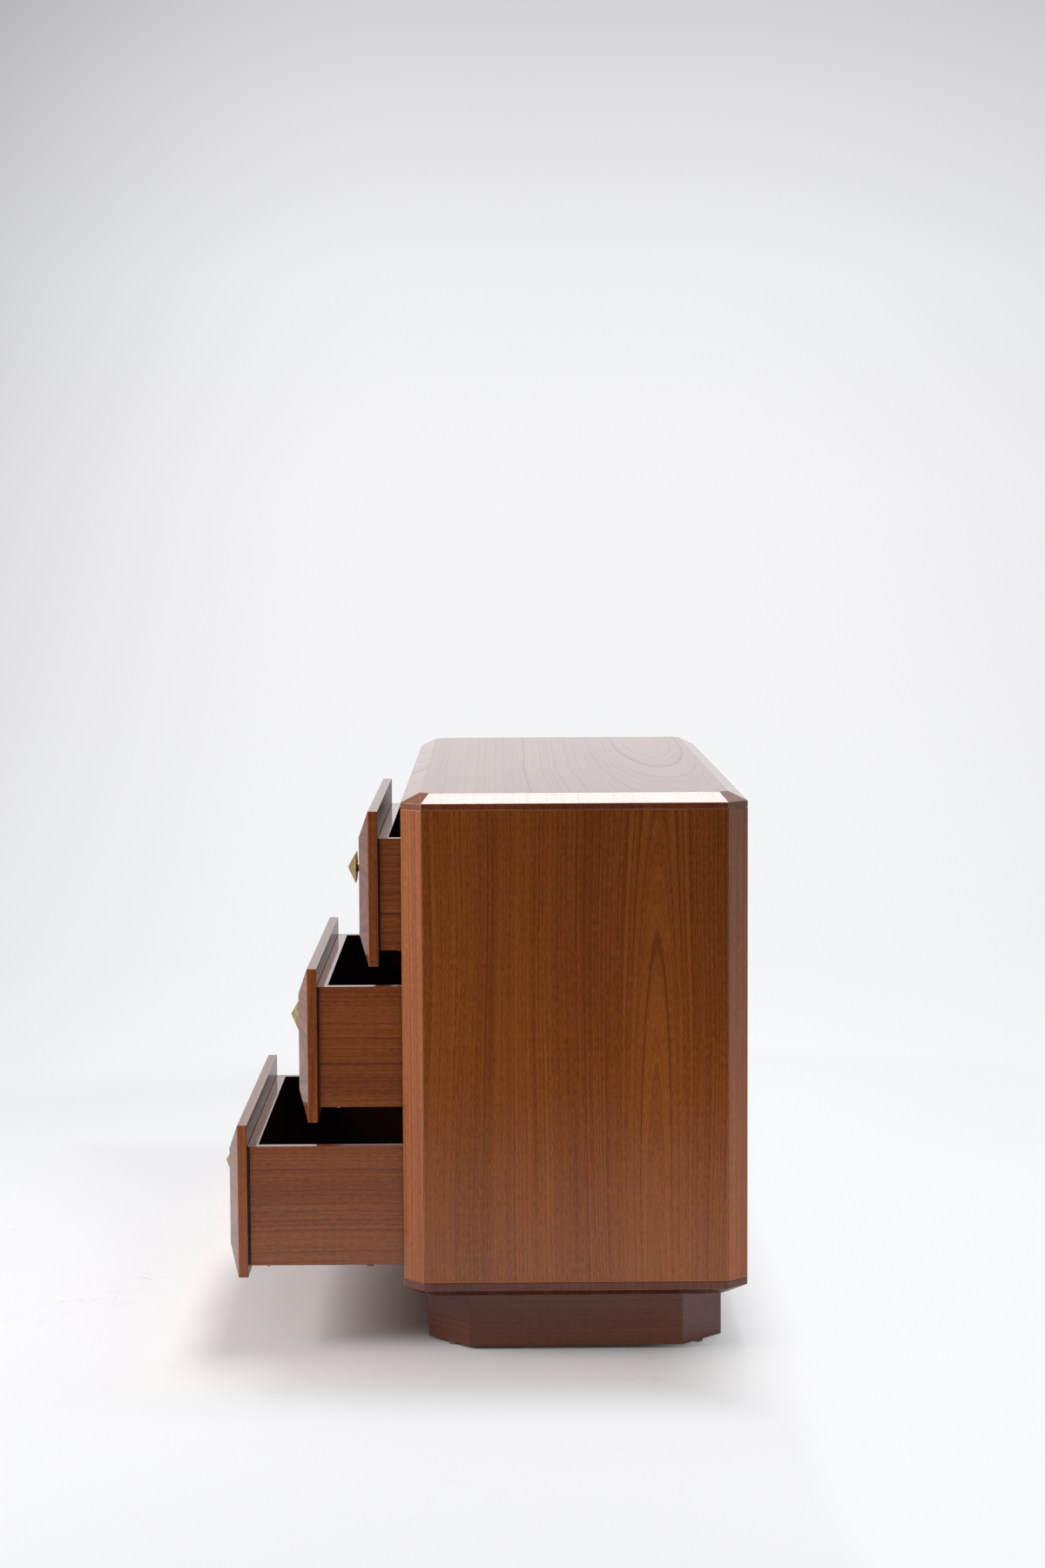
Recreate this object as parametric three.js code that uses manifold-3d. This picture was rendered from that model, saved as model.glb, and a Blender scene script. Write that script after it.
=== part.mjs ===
// Commode chest: six drawers in two columns between chamfered corner posts,
// under a bevelled top and over a bevelled base that stands on a recessed plinth.
// Lengths are millimetres and +Z is up. The front faces -Y and the width runs along X.
// The origin is on the floor, at the centre of the plan.
// The right column is drawn out in a stair, the left column is shut.

import * as THREE from 'three';
import { mergeVertices } from 'three/addons/utils/BufferGeometryUtils.js';
import Module from 'manifold-3d';

// Whole case
const caseWidth = 1270;
const caseDepth = 500;
const cornerLeg = 30;
const gluedGap = 0.3;
const cutOverrun = 2;

// Heights, from the floor up
const glideHeight = 4.7;
const plinthHeight = 76.7;
const baseBand = 11;
const openingHeight = 687;
const topBand = 9;

// Bevel of the top, mirrored under the base
const bevelRun = 28;
const bevelRise = 13.5;

// Plinth and its glides
const plinthInset = 34;
const plinthCornerLeg = 60;
const plinthRail = 24;
const plinthCrossRail = 70;
const glideRadius = 7.5;
const glideSetIn = 8;
const glideEdge = 1.2;

// Boards of the case
const sideThickness = 20;
const postTongue = 15;
const postArris = 1;
const partitionThickness = 20;
const dividerThickness = 20;
const backThickness = 8;
const backRecess = 4;

// Drawer fronts
const frontThickness = 14;
const fieldRise = 15;
const fieldSetIn = 42;
const frontReveal = 3.3;
const frontHeadReveal = 4;
const frontFootReveal = 2.5;
const frontEndReveal = 2;
const frontMiddleGap = 4;
const frontStopGap = 0.5;

// Drawer boxes
const boxBackPlay = 33;
const boxBoard = 15;
const boxBack = 12;
const boxBackDrop = 10;
const lipThickness = 3;
const frontEndOverhang = 4;
const partitionPlay = 2;
const bottomThickness = 8;
const bottomLift = 12;
const grooveDepth = 6;
const runningGap = 0.4;

// Channels in the runner boards for the studs under the drawer sides
const channelWidth = 8;
const channelDepth = 3;

// Knobs
const knobAcross = 45;
const knobReach = 29;
const knobPoint = 10;
const knobRim = 1;
const knobBackTaper = 7.5;
const knobNeckAcross = 17;
const knobStemRadius = 7;
const knobCollarRadius = 11;
const knobCollarHeight = 3;

// Each drawer's own sizes, from the bottom up: how far its box starts above its front's foot and
// ends below its front's head, and how far it is drawn out in the right column
const boxAboveFoot = [17, 22, 23];
const boxBelowHead = [32, 26.5, 39.5];
const drawnOut = [241, 137.5, 47.5];

// Steps round each turned piece
const glideSides = 24;
const knobSides = 28;

// Levels and planes that follow from the sizes above
const halfWidth = caseWidth / 2;
const halfDepth = caseDepth / 2;
const plinthLow = glideHeight + gluedGap;
const plinthTop = plinthLow + plinthHeight;
const baseLow = plinthTop + gluedGap;
const baseShoulder = baseLow + bevelRise;
const baseTop = baseShoulder + baseBand;
const topLow = baseTop + openingHeight;
const topShoulder = topLow + topBand;
const caseTop = topShoulder + bevelRise;

const frontPlane = -halfDepth;
const frontBack = frontPlane + frontThickness;
const runnerFront = frontBack + frontStopGap;
const backPlane = halfDepth - backRecess;
const runnerBack = backPlane - backThickness - gluedGap;
const postInner = halfWidth - cornerLeg - postArris;
const postBehind = halfDepth - cornerLeg - postTongue;
const sideInner = halfWidth - sideThickness;

const rowNames = ['lower', 'middle', 'upper'];
const rowCount = rowNames.length;
const frontReveals = frontHeadReveal + frontFootReveal + (rowCount - 1) * frontReveal;
const frontHeight = (openingHeight - frontReveals) / rowCount;
const frontInnerEnd = frontMiddleGap / 2;
const frontOuterEnd = postInner - frontEndReveal;
const boxInner = partitionThickness / 2 + partitionPlay;
const boxOuter = frontOuterEnd - frontEndOverhang;

const rowFoot = (row) => baseTop + frontFootReveal + row * (frontHeight + frontReveal);
const runnerTop = (row) => rowFoot(row) + boxAboveFoot[row] - runningGap;

// Finishes
const veneer = new THREE.MeshStandardMaterial({ color: 0x7a4526, roughness: 0.32 });
const paleWood = new THREE.MeshStandardMaterial({ color: 0xa9683f, roughness: 0.34 });
const drawerWood = new THREE.MeshStandardMaterial({ color: 0x744529, roughness: 0.36 });
const darkWood = new THREE.MeshStandardMaterial({ color: 0x452a22, roughness: 0.4 });
const lining = new THREE.MeshStandardMaterial({ color: 0x17110f, roughness: 0.5 });
const brass = new THREE.MeshStandardMaterial({ color: 0xb9a070, roughness: 0.35, metalness: 0.9 });
const glideMetal = new THREE.MeshStandardMaterial({ color: 0x8c8a88, roughness: 0.4, metalness: 0.8 });

const chest = new THREE.Group();

function addPiece(parent, name, geometry, material) {
  geometry.computeVertexNormals();
  const piece = new THREE.Mesh(geometry, material);
  piece.name = name;
  parent.add(piece);
}

// Solid forms
function board([x0, x1], [y0, y1], [z0, z1]) {
  const box = new THREE.BoxGeometry(Math.abs(x1 - x0), y1 - y0, z1 - z0);
  return box.translate((x0 + x1) / 2, (y0 + y1) / 2, (z0 + z1) / 2);
}

function extrudeUp(outline, [low, high]) {
  const shape = new THREE.Shape(outline.map(([x, y]) => new THREE.Vector2(x, y)));
  const solid = new THREE.ExtrudeGeometry(shape, { depth: high - low, bevelEnabled: false });
  return solid.translate(0, 0, low);
}

// An outline of Y and Z places, given a thickness along X about the centre line
function extrudeAcross(outline, thickness) {
  const solid = extrudeUp(outline, [-thickness / 2, thickness / 2]);
  return solid.rotateX(Math.PI / 2).rotateZ(Math.PI / 2);
}

// A closed solid through rings of equal count, counterclockwise seen from the last ring's side
function loft(levels) {
  const count = levels[0].outline.length;
  const places = levels.flatMap(({ outline, at }) => outline.flatMap(([x, y]) => [x, y, at]));
  const faces = [];
  for (let level = 0; level + 1 < levels.length; level += 1) {
    for (let i = 0; i < count; i += 1) {
      const a = level * count + i;
      const b = level * count + ((i + 1) % count);
      faces.push(a, b, b + count, a, b + count, a + count);
    }
  }
  const last = (levels.length - 1) * count;
  for (let i = 1; i + 1 < count; i += 1) {
    faces.push(0, i + 1, i, last, last + i, last + i + 1);
  }
  const solid = new THREE.BufferGeometry();
  solid.setAttribute('position', new THREE.Float32BufferAttribute(places, 3));
  solid.setIndex(faces);
  return solid;
}

// A rectangle with its corners cut at 45 degrees, all eight edges set in alike
function octagon(width, depth, leg, setIn = 0) {
  const x = width / 2 - setIn;
  const y = depth / 2 - setIn;
  const facet = leg - setIn * (2 - Math.SQRT2);
  return [
    [x, facet - y], [x, y - facet], [x - facet, y], [facet - x, y],
    [-x, y - facet], [-x, facet - y], [facet - x, -y], [x - facet, -y],
  ];
}

function rectangle(width, height, setIn = 0) {
  const x = width / 2 - setIn;
  const y = height / 2 - setIn;
  return [[-x, -y], [x, -y], [x, y], [-x, y]];
}

// Joining and cutting
const wasm = await Module();
wasm.setup();

function toSolid(geometry) {
  const bare = geometry.clone();
  bare.deleteAttribute('normal');
  bare.deleteAttribute('uv');
  const merged = mergeVertices(bare);
  return new wasm.Manifold(new wasm.Mesh({
    numProp: 3,
    vertProperties: merged.attributes.position.array,
    triVerts: new Uint32Array(merged.index.array),
  }));
}

function toGeometry(solid) {
  const mesh = solid.getMesh();
  const geometry = new THREE.BufferGeometry();
  geometry.setAttribute('position', new THREE.BufferAttribute(mesh.vertProperties, 3));
  geometry.setIndex(new THREE.BufferAttribute(mesh.triVerts, 1));
  return geometry.toNonIndexed();
}

function cut(geometry, ...tools) {
  return toGeometry(tools.reduce((solid, tool) => solid.subtract(toSolid(tool)), toSolid(geometry)));
}

function join(geometry, ...others) {
  return toGeometry(others.reduce((solid, other) => solid.add(toSolid(other)), toSolid(geometry)));
}

// Top: a square edge under a wide bevel that goes round the corner facets
function makeTop() {
  const plan = (setIn) => octagon(caseWidth, caseDepth, cornerLeg, setIn);
  return loft([
    { outline: plan(0), at: topLow },
    { outline: plan(0), at: topShoulder },
    { outline: plan(bevelRun), at: caseTop },
  ]);
}

// Plan of the boards that lie between the sides, notched round the four posts
function runnerPlan() {
  const x0 = postInner - gluedGap;
  const x1 = sideInner - gluedGap;
  const y1 = postBehind - gluedGap;
  return [
    [-x0, runnerFront], [x0, runnerFront], [x0, -y1], [x1, -y1], [x1, y1], [x0, y1],
    [x0, runnerBack], [-x0, runnerBack], [-x0, y1], [-x1, y1], [-x1, -y1], [-x0, -y1],
  ];
}

// Channels along a runner board, under the outer half of each drawer side
function runnerChannels(top) {
  const innerChannel = [boxInner, boxInner + channelWidth];
  const outerChannel = [boxOuter - channelWidth, boxOuter];
  const tools = [];
  for (const side of [-1, 1]) {
    for (const channel of [innerChannel, outerChannel]) {
      const across = channel.map((x) => side * x);
      const along = [runnerFront - cutOverrun, runnerBack + cutOverrun];
      tools.push(board(across, along, [top - channelDepth, top + cutOverrun]));
    }
  }
  return tools;
}

// Base: a band over a bevel that mirrors the top's, and the floor that the lower drawers run on
function makeBase() {
  const plan = (setIn) => octagon(caseWidth, caseDepth, cornerLeg, setIn);
  const moulding = loft([
    { outline: plan(bevelRun), at: baseLow },
    { outline: plan(0), at: baseShoulder },
    { outline: plan(0), at: baseTop },
  ]);
  const top = runnerTop(0);
  const floor = extrudeUp(runnerPlan(), [baseTop - baseBand / 2, top]);
  return cut(join(moulding, floor), ...runnerChannels(top));
}

// Posts: a 45-degree face outside and a tongue behind the side panel
function postPlan(xSide, ySide) {
  const tongueOuter = sideInner - gluedGap;
  const plan = [
    [postInner, halfDepth], [halfWidth - cornerLeg, halfDepth], [halfWidth, halfDepth - cornerLeg],
    [tongueOuter, halfDepth - cornerLeg], [tongueOuter, postBehind], [postInner, postBehind],
  ];
  return plan.map(([x, y]) => [xSide * x, ySide * y]);
}

function addCase() {
  const between = [baseTop + gluedGap, topLow - gluedGap];
  const sideReach = halfDepth - cornerLeg - gluedGap;
  addPiece(chest, 'top_panel', makeTop(), veneer);
  addPiece(chest, 'base_panel', makeBase(), veneer);
  for (const [xName, xSide] of [['left', -1], ['right', 1]]) {
    const across = [xSide * sideInner, xSide * halfWidth];
    addPiece(chest, `side_panel_${xName}`, board(across, [-sideReach, sideReach], between), veneer);
    for (const [yName, ySide] of [['front', -1], ['back', 1]]) {
      const post = extrudeUp(postPlan(xSide, ySide), between);
      addPiece(chest, `post_${yName}_${xName}`, post, paleWood);
    }
  }
  const backReach = postInner - gluedGap;
  const backPanel = board([-backReach, backReach], [backPlane - backThickness, backPlane], between);
  addPiece(chest, 'back_panel', backPanel, darkWood);
}

// Dividers and partition slot into each other at mid depth
function makeDivider(row) {
  const top = runnerTop(row);
  const slotHalf = partitionThickness / 2 + gluedGap;
  const slotAcross = [-slotHalf, slotHalf];
  const slot = board(slotAcross, [0, runnerBack + cutOverrun], [
    top - dividerThickness - cutOverrun, top + cutOverrun,
  ]);
  const plain = extrudeUp(runnerPlan(), [top - dividerThickness, top]);
  return cut(plain, slot, ...runnerChannels(top));
}

function makePartition() {
  const outline = [[runnerBack, topLow - gluedGap], [runnerBack, runnerTop(0) + gluedGap]];
  outline.push([runnerFront, runnerTop(0) + gluedGap]);
  for (let row = 1; row < rowCount; row += 1) {
    const low = runnerTop(row) - dividerThickness - gluedGap;
    const high = runnerTop(row) + gluedGap;
    outline.push([runnerFront, low], [gluedGap, low], [gluedGap, high], [runnerFront, high]);
  }
  outline.push([runnerFront, topLow - gluedGap]);
  return extrudeAcross(outline, partitionThickness);
}

function addInside() {
  addPiece(chest, 'partition', makePartition(), darkWood);
  addPiece(chest, 'divider_lower', makeDivider(1), darkWood);
  addPiece(chest, 'divider_upper', makeDivider(2), darkWood);
}

// Plinth: an eight-sided frame with a cross rail in the middle
function makePlinth() {
  const width = caseWidth - 2 * plinthInset;
  const depth = caseDepth - 2 * plinthInset;
  const inner = octagon(width, depth, plinthCornerLeg, plinthRail);
  const railEdge = plinthCrossRail / 2;
  const [[x, yStart], , [xFacet, y]] = inner;
  const bay = [[railEdge, -y], [xFacet, -y], [x, yStart], [x, -yStart], [xFacet, y], [railEdge, y]];
  const bays = [bay, bay.map(([px, py]) => [-px, py])];
  const through = [plinthLow - cutOverrun, plinthTop + cutOverrun];
  const full = extrudeUp(octagon(width, depth, plinthCornerLeg), [plinthLow, plinthTop]);
  return cut(full, ...bays.map((outline) => extrudeUp(outline, through)));
}

function makeGlide() {
  const profile = [
    [0, 0], [glideRadius - glideEdge, 0], [glideRadius, glideEdge], [glideRadius, glideHeight],
    [0, glideHeight],
  ];
  const turned = new THREE.LatheGeometry(profile.map(([r, z]) => new THREE.Vector2(r, z)), glideSides);
  return turned.rotateX(Math.PI / 2);
}

function addPlinth() {
  addPiece(chest, 'plinth_frame', makePlinth(), darkWood);
  const glideInset = plinthInset + plinthCornerLeg / 2 + glideSetIn / Math.SQRT2;
  const x = halfWidth - glideInset;
  const y = halfDepth - glideInset;
  const places = {
    glide_front_left: [-x, -y],
    glide_front_right: [x, -y],
    glide_back_left: [-x, y],
    glide_back_right: [x, y],
    glide_centre: [0, 0],
  };
  for (const [name, [px, py]] of Object.entries(places)) {
    addPiece(chest, name, makeGlide().translate(px, py, 0), glideMetal);
  }
}

// Drawer front: a slab with a raised flat field inside four bevels
function makeFront(across) {
  const width = frontOuterEnd - frontInnerEnd;
  const plan = (setIn) => rectangle(width, frontHeight, setIn);
  const panel = loft([
    { outline: plan(0), at: 0 },
    { outline: plan(0), at: frontThickness },
    { outline: plan(fieldSetIn), at: frontThickness + fieldRise },
  ]);
  return panel.rotateX(Math.PI / 2).translate(across, frontBack, frontHeight / 2);
}

// Sub-front: a thin lip over the ends of the sides, thicker between them, grooved for the bottom
function makeSubFront(side, low, high) {
  const y0 = frontBack + gluedGap;
  const lip = board([side * boxInner, side * boxOuter], [y0, y0 + lipThickness], [low, high]);
  const inside = [boxInner, boxOuter].map((x, end) => side * (x + (end ? -1 : 1) * (boxBoard + gluedGap)));
  const thick = board(inside, [y0, y0 + boxBoard], [low, high]);
  const grooveLow = low + bottomLift - gluedGap;
  const grooveHigh = low + bottomLift + bottomThickness + gluedGap;
  const grooveAlong = [y0 + boxBoard - grooveDepth, y0 + boxBoard + cutOverrun];
  return cut(join(lip, thick), board(inside.map((x, end) => (
    x + side * (end ? 1 : -1) * cutOverrun
  )), grooveAlong, [grooveLow, grooveHigh]));
}

// Side of the box, grooved inside for the bottom
function makeBoxSide(outerFace, inward, low, high, back) {
  const innerFace = outerFace + inward * boxBoard;
  const y0 = frontBack + gluedGap + lipThickness + gluedGap;
  const plain = board([outerFace, innerFace], [y0, back], [low, high]);
  const groove = board(
    [innerFace - inward * grooveDepth, innerFace + inward * cutOverrun],
    [y0 - cutOverrun, back + cutOverrun],
    [low + bottomLift - gluedGap, low + bottomLift + bottomThickness + gluedGap],
  );
  return cut(plain, groove);
}

// Knob: a square, pointed head on a turned stem and collar
function turn(profile, sides, start) {
  return new THREE.LatheGeometry(profile.map(([r, z]) => new THREE.Vector2(r, z)), sides, start);
}

function makeKnob() {
  const rim = knobReach - knobPoint;
  const back = rim - knobRim - knobBackTaper;
  const head = turn([
    [0, back], [knobNeckAcross / Math.SQRT2, back], [knobAcross / Math.SQRT2, rim - knobRim],
    [knobAcross / Math.SQRT2, rim], [0, knobReach],
  ], 4, Math.PI / 4);
  const stem = turn([
    [0, gluedGap], [knobCollarRadius, gluedGap], [knobCollarRadius, knobCollarHeight],
    [knobStemRadius, knobCollarHeight], [knobStemRadius, rim - knobRim], [0, rim - knobRim],
  ], knobSides, 0);
  return join(head, stem).rotateX(Math.PI);
}

// One drawer, with its places counted from its front's foot in the shut position
function addDrawer(column, side, row) {
  const drawer = new THREE.Group();
  drawer.position.set(0, side > 0 ? -drawnOut[row] : 0, rowFoot(row));
  chest.add(drawer);
  const label = (piece) => `${column}_${rowNames[row]}_${piece}`;

  const low = boxAboveFoot[row];
  const high = frontHeight - boxBelowHead[row];
  const back = runnerBack - boxBackPlay;
  const middle = side * (frontInnerEnd + frontOuterEnd) / 2;
  const insideInner = boxInner + boxBoard;
  const insideOuter = boxOuter - boxBoard;

  addPiece(drawer, label('front'), makeFront(middle), veneer);
  addPiece(drawer, label('sub_front'), makeSubFront(side, low, high), drawerWood);
  addPiece(drawer, label('side_inner'), makeBoxSide(side * boxInner, side, low, high, back), drawerWood);
  addPiece(drawer, label('side_outer'), makeBoxSide(side * boxOuter, -side, low, high, back), drawerWood);

  const bottomLow = low + bottomLift;
  const bottomHigh = bottomLow + bottomThickness;
  const grooveReach = grooveDepth - gluedGap;
  addPiece(drawer, label('bottom'), board(
    [side * (insideInner - grooveReach), side * (insideOuter + grooveReach)],
    [frontBack + gluedGap + boxBoard - grooveReach, back],
    [bottomLow, bottomHigh],
  ), lining);
  addPiece(drawer, label('back'), board(
    [side * (insideInner + gluedGap), side * (insideOuter - gluedGap)],
    [back - boxBack, back],
    [bottomHigh + gluedGap, high - boxBackDrop],
  ), drawerWood);

  const knob = makeKnob().translate(middle, frontPlane - fieldRise, frontHeight / 2);
  addPiece(drawer, label('knob'), knob, brass);
}

addCase();
addInside();
addPlinth();
for (const [column, side] of [['left', -1], ['right', 1]]) {
  rowNames.forEach((name, row) => addDrawer(column, side, row));
}

export default chest;
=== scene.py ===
# %% [markdown]
# # A commode chest with its drawers drawn out in a stair
#
# The real thing is a wide chest of drawers in lacquered, figured veneer. It has a bevelled top,
# chamfered corner posts, a recessed plinth and raised drawer fronts with pointed brass knobs.
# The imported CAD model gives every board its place, so this lesson spends its time on what
# wood and lacquer look like: eased edges, grain that follows each board, and a clear coat.
# The CAD is loaded first, and its box is kept so that the dressed chest can be held against it.

# %% Load the fixed frame
import math

import bmesh
import bpy
from mathutils import Matrix, Vector


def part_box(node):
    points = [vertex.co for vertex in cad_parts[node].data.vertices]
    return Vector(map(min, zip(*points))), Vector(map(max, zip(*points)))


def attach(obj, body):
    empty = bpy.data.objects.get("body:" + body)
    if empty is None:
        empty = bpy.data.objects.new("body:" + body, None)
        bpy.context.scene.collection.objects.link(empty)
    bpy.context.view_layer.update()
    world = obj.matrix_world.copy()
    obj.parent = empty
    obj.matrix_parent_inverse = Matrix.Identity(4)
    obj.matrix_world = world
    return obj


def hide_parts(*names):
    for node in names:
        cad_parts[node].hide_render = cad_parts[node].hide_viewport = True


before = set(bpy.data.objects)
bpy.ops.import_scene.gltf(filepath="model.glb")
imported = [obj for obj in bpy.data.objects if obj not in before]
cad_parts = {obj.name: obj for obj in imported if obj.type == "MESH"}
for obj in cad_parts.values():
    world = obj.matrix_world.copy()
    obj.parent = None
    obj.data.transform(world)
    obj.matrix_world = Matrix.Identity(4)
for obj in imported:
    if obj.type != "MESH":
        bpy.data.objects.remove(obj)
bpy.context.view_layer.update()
scene = bpy.context.scene
scene.view_settings.view_transform = "Standard"

# %% [markdown]
# ## The camera
#
# A long lens stands off the chest's right end, a little above the top, so the near end shows
# almost square and the drawers step out to the left. The place and the three small angles come
# from fitting a pinhole camera to the case's corners. The camera could be aimed with a
# constraint, but plain angles keep the fitted picture exactly.

# %% Set the camera
CAMERA_PLACE = (4.882, -0.10693, 1.17479)
TURNED_LEFT = -0.00768
TILTED_DOWN = 0.08086
ROLLED = -0.00531
LENS_MM, SENSOR_MM = 68.58, 36
QUARTER_TURN = math.pi / 2

aim = (
    Matrix.Rotation(QUARTER_TURN + TURNED_LEFT, 4, "Z")
    @ Matrix.Rotation(QUARTER_TURN - TILTED_DOWN, 4, "X")
    @ Matrix.Rotation(ROLLED, 4, "Z")
)
bpy.ops.object.camera_add(location=CAMERA_PLACE, rotation=aim.to_euler())
camera = bpy.context.object
camera.name = "camera"
camera.data.sensor_width = SENSOR_MM
camera.data.lens = LENS_MM
scene.camera = camera
print("camera at", tuple(round(x, 3) for x in camera.location))

# %% [markdown]
# ## Wiring materials
#
# A finish on wood is a chain of small steps: coordinates, a few noises, a colour, a gloss. The
# chain could be clicked together in the shader editor. Written out, each step is one line, so
# a few helpers that add a node and wire its sockets keep the later cells short.

# %% Helpers for nodes
FIRST_COLOUR, SECOND_COLOUR, MIXED_COLOUR = 6, 7, 2  # a mix node's sockets for colours


def add_node(tree, kind, sockets=None, **options):
    """Adds a node, sets its options, and fills its sockets with numbers or wires."""
    node = tree.nodes.new(kind)
    for option, value in options.items():
        setattr(node, option, value)
    for socket, value in (sockets or {}).items():
        if isinstance(value, bpy.types.NodeSocket):
            tree.links.new(value, node.inputs[socket])
        else:
            node.inputs[socket].default_value = value
    return node


def maths(tree, operation, *numbers):
    """One step of arithmetic on numbers or wires."""
    sockets = dict(enumerate(numbers))
    return add_node(tree, "ShaderNodeMath", sockets, operation=operation).outputs[0]


def spread(tree, value, low, high, to_low=0.0, to_high=1.0, smooth=False):
    """Stretches a wire's range from low and high to two new ends, and clamps it there."""
    how = "SMOOTHSTEP" if smooth else "LINEAR"
    sockets = {
        "Value": value, "From Min": low, "From Max": high, "To Min": to_low, "To Max": to_high}
    return add_node(tree, "ShaderNodeMapRange", sockets, interpolation_type=how).outputs[0]


def mixed_colour(tree, share, first, second):
    """Goes from the first colour to the second as the share goes from 0 to 1."""
    sockets = {0: share, FIRST_COLOUR: first, SECOND_COLOUR: second}
    return add_node(tree, "ShaderNodeMix", sockets, data_type="RGBA").outputs[MIXED_COLOUR]


def colours_along(tree, value, stops, interpolation="LINEAR"):
    """The colour where a wire's value lies among stops, which are pairs of place and colour."""
    ramp = add_node(tree, "ShaderNodeValToRGB", {"Fac": value})
    ramp.color_ramp.interpolation = interpolation
    elements = ramp.color_ramp.elements
    elements[0].position, elements[0].color = stops[0]
    elements[1].position, elements[1].color = stops[-1]
    for at, colour in stops[1:-1]:
        elements.new(at).color = colour
    return ramp.outputs["Color"]


def surface(tree, shader, share=0.0, second=None):
    """Gives a material its surface: a shader, or one that goes to a second by a share."""
    if second is not None:
        sockets = {0: share, 1: shader.outputs[0], 2: second.outputs[0]}
        shader = add_node(tree, "ShaderNodeMixShader", sockets)
    add_node(tree, "ShaderNodeOutputMaterial", {"Surface": shader.outputs[0]})


def paint(red, green, blue):
    """A colour as a paint chart gives it, 0 to 255, in the linear numbers that light needs."""
    def linear(value):
        value /= 255
        return value / 12.92 if value <= 0.04045 else ((value + 0.055) / 1.055) ** 2.4
    return (linear(red), linear(green), linear(blue), 1.0)


def new_material(name):
    """A material with an empty board of nodes."""
    material = bpy.data.materials.new(name)
    material.use_nodes = True
    material.node_tree.nodes.clear()
    return material


# %% [markdown]
# ## The studio: floor, round backdrop and dark end
#
# The chest stands on a white paper floor that runs up into a pale wall. A real studio has one
# curved sheet behind the object. Other views look from other sides, so here the wall is a ring
# that only shows its inner face, and what lies between camera and chest is passed through. The
# wall's glow is painted darker higher up and towards the corners, as painted shade. The floor is
# lit by the lamps near the chest, where it has to hold the soft shadow, and it gives its own white
# further out. Round the chest the paper is painted a little warm, as light bounced from the wood,
# and it is scuffed. On the camera's side a real studio is dark, which keeps the near end of the
# case deep in colour, so a dark cloth that only reflections see hangs and lies there.

# %% Helpers for the studio
CORNER_DIMNESS = (  # the angle round the chest in radians, and how far it darkens there
    (-2.2, 0.0), (-0.9, 1.0), (-0.1, 0.0), (0.1, 0.0), (0.9, 0.4), (2.2, 0.0))


def seen_directly(tree):
    """One for rays from the camera, mirrors and glass, none for the light that floods surfaces."""
    path = add_node(tree, "ShaderNodeLightPath")
    mirrored = maths(
        tree, "MAXIMUM", path.outputs["Is Glossy Ray"], path.outputs["Is Transmission Ray"])
    return maths(tree, "MAXIMUM", path.outputs["Is Camera Ray"], mirrored)


def object_place(tree):
    """The place on the object, as three wires."""
    texture = add_node(tree, "ShaderNodeTexCoord")
    return add_node(tree, "ShaderNodeSeparateXYZ", {0: texture.outputs["Object"]}).outputs


def corner_dimness(tree, x, y):
    """How far the studio darkens towards its corners, by the angle round the chest."""
    angle = maths(tree, "ARCTAN2", y, maths(tree, "MULTIPLY", x, -1.0))
    turn = spread(tree, angle, -math.pi, math.pi)
    stops = [((way + math.pi) / (2 * math.pi), (dimness, dimness, dimness, 1))
             for way, dimness in CORNER_DIMNESS]
    return colours_along(tree, turn, stops, interpolation="EASE")


print("the studio darkens by", len(CORNER_DIMNESS), "steps round the chest")

# %% Floor: its paper, painted warm near the chest as bounced light, and scuffed
FLOOR_HALF = 12.0
# Near the chest the paper is tinted warm: painted light, as if bounced from the wood.
PAPER, BOUNCE_TINTED_PAPER = paint(236, 236, 238), paint(245, 241, 239)
SCUFFED = paint(220, 217, 216)
BOUNCE_TINT_REACH, BOUNCE_TINT_END, BOUNCE_TINT_SHAPE = 0.52, 0.72, 0.75
CREASES_PER_METRE, CREASE_BEND, CREASE_WIDTH = 7.0, 1.2, 0.006
PATCHES_PER_METRE, PATCH_START, PATCH_FULL = 3.1, 0.52, 0.68

bpy.ops.mesh.primitive_plane_add(size=2 * FLOOR_HALF)
floor = bpy.context.object
floor.name = "paper_floor"
material = new_material("paper floor")
tree = material.node_tree
x, y, _ = object_place(tree)
from_end, from_side = maths(tree, "ABSOLUTE", x), maths(tree, "ABSOLUTE", y)
from_case = maths(tree, "MAXIMUM", maths(tree, "MULTIPLY", from_end, BOUNCE_TINT_SHAPE), from_side)
away = spread(tree, from_case, BOUNCE_TINT_REACH, BOUNCE_TINT_END, smooth=True)
paper = mixed_colour(tree, away, BOUNCE_TINTED_PAPER, PAPER)

spot = add_node(tree, "ShaderNodeCombineXYZ", {0: x, 1: y}).outputs[0]
sockets = {
    "Vector": spot, "Scale": CREASES_PER_METRE, "Detail": 3.0, "Distortion": CREASE_BEND}
crease = add_node(tree, "ShaderNodeTexNoise", sockets, noise_dimensions="2D").outputs[0]
crease = maths(tree, "ABSOLUTE", maths(tree, "SUBTRACT", crease, 0.5))
crease = spread(tree, crease, 0.0, CREASE_WIDTH, 1.0, 0.0)
sockets = {"Vector": spot, "Scale": PATCHES_PER_METRE, "Detail": 1.0}
patch = add_node(tree, "ShaderNodeTexNoise", sockets, noise_dimensions="2D").outputs[0]
scuff = maths(
    tree, "MULTIPLY", crease, spread(tree, patch, PATCH_START, PATCH_FULL, smooth=True))
lit = add_node(tree, "ShaderNodeBsdfDiffuse", {"Color": mixed_colour(tree, scuff, paper, SCUFFED)})
print("floor laid,", 2 * FLOOR_HALF, "m across")

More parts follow.
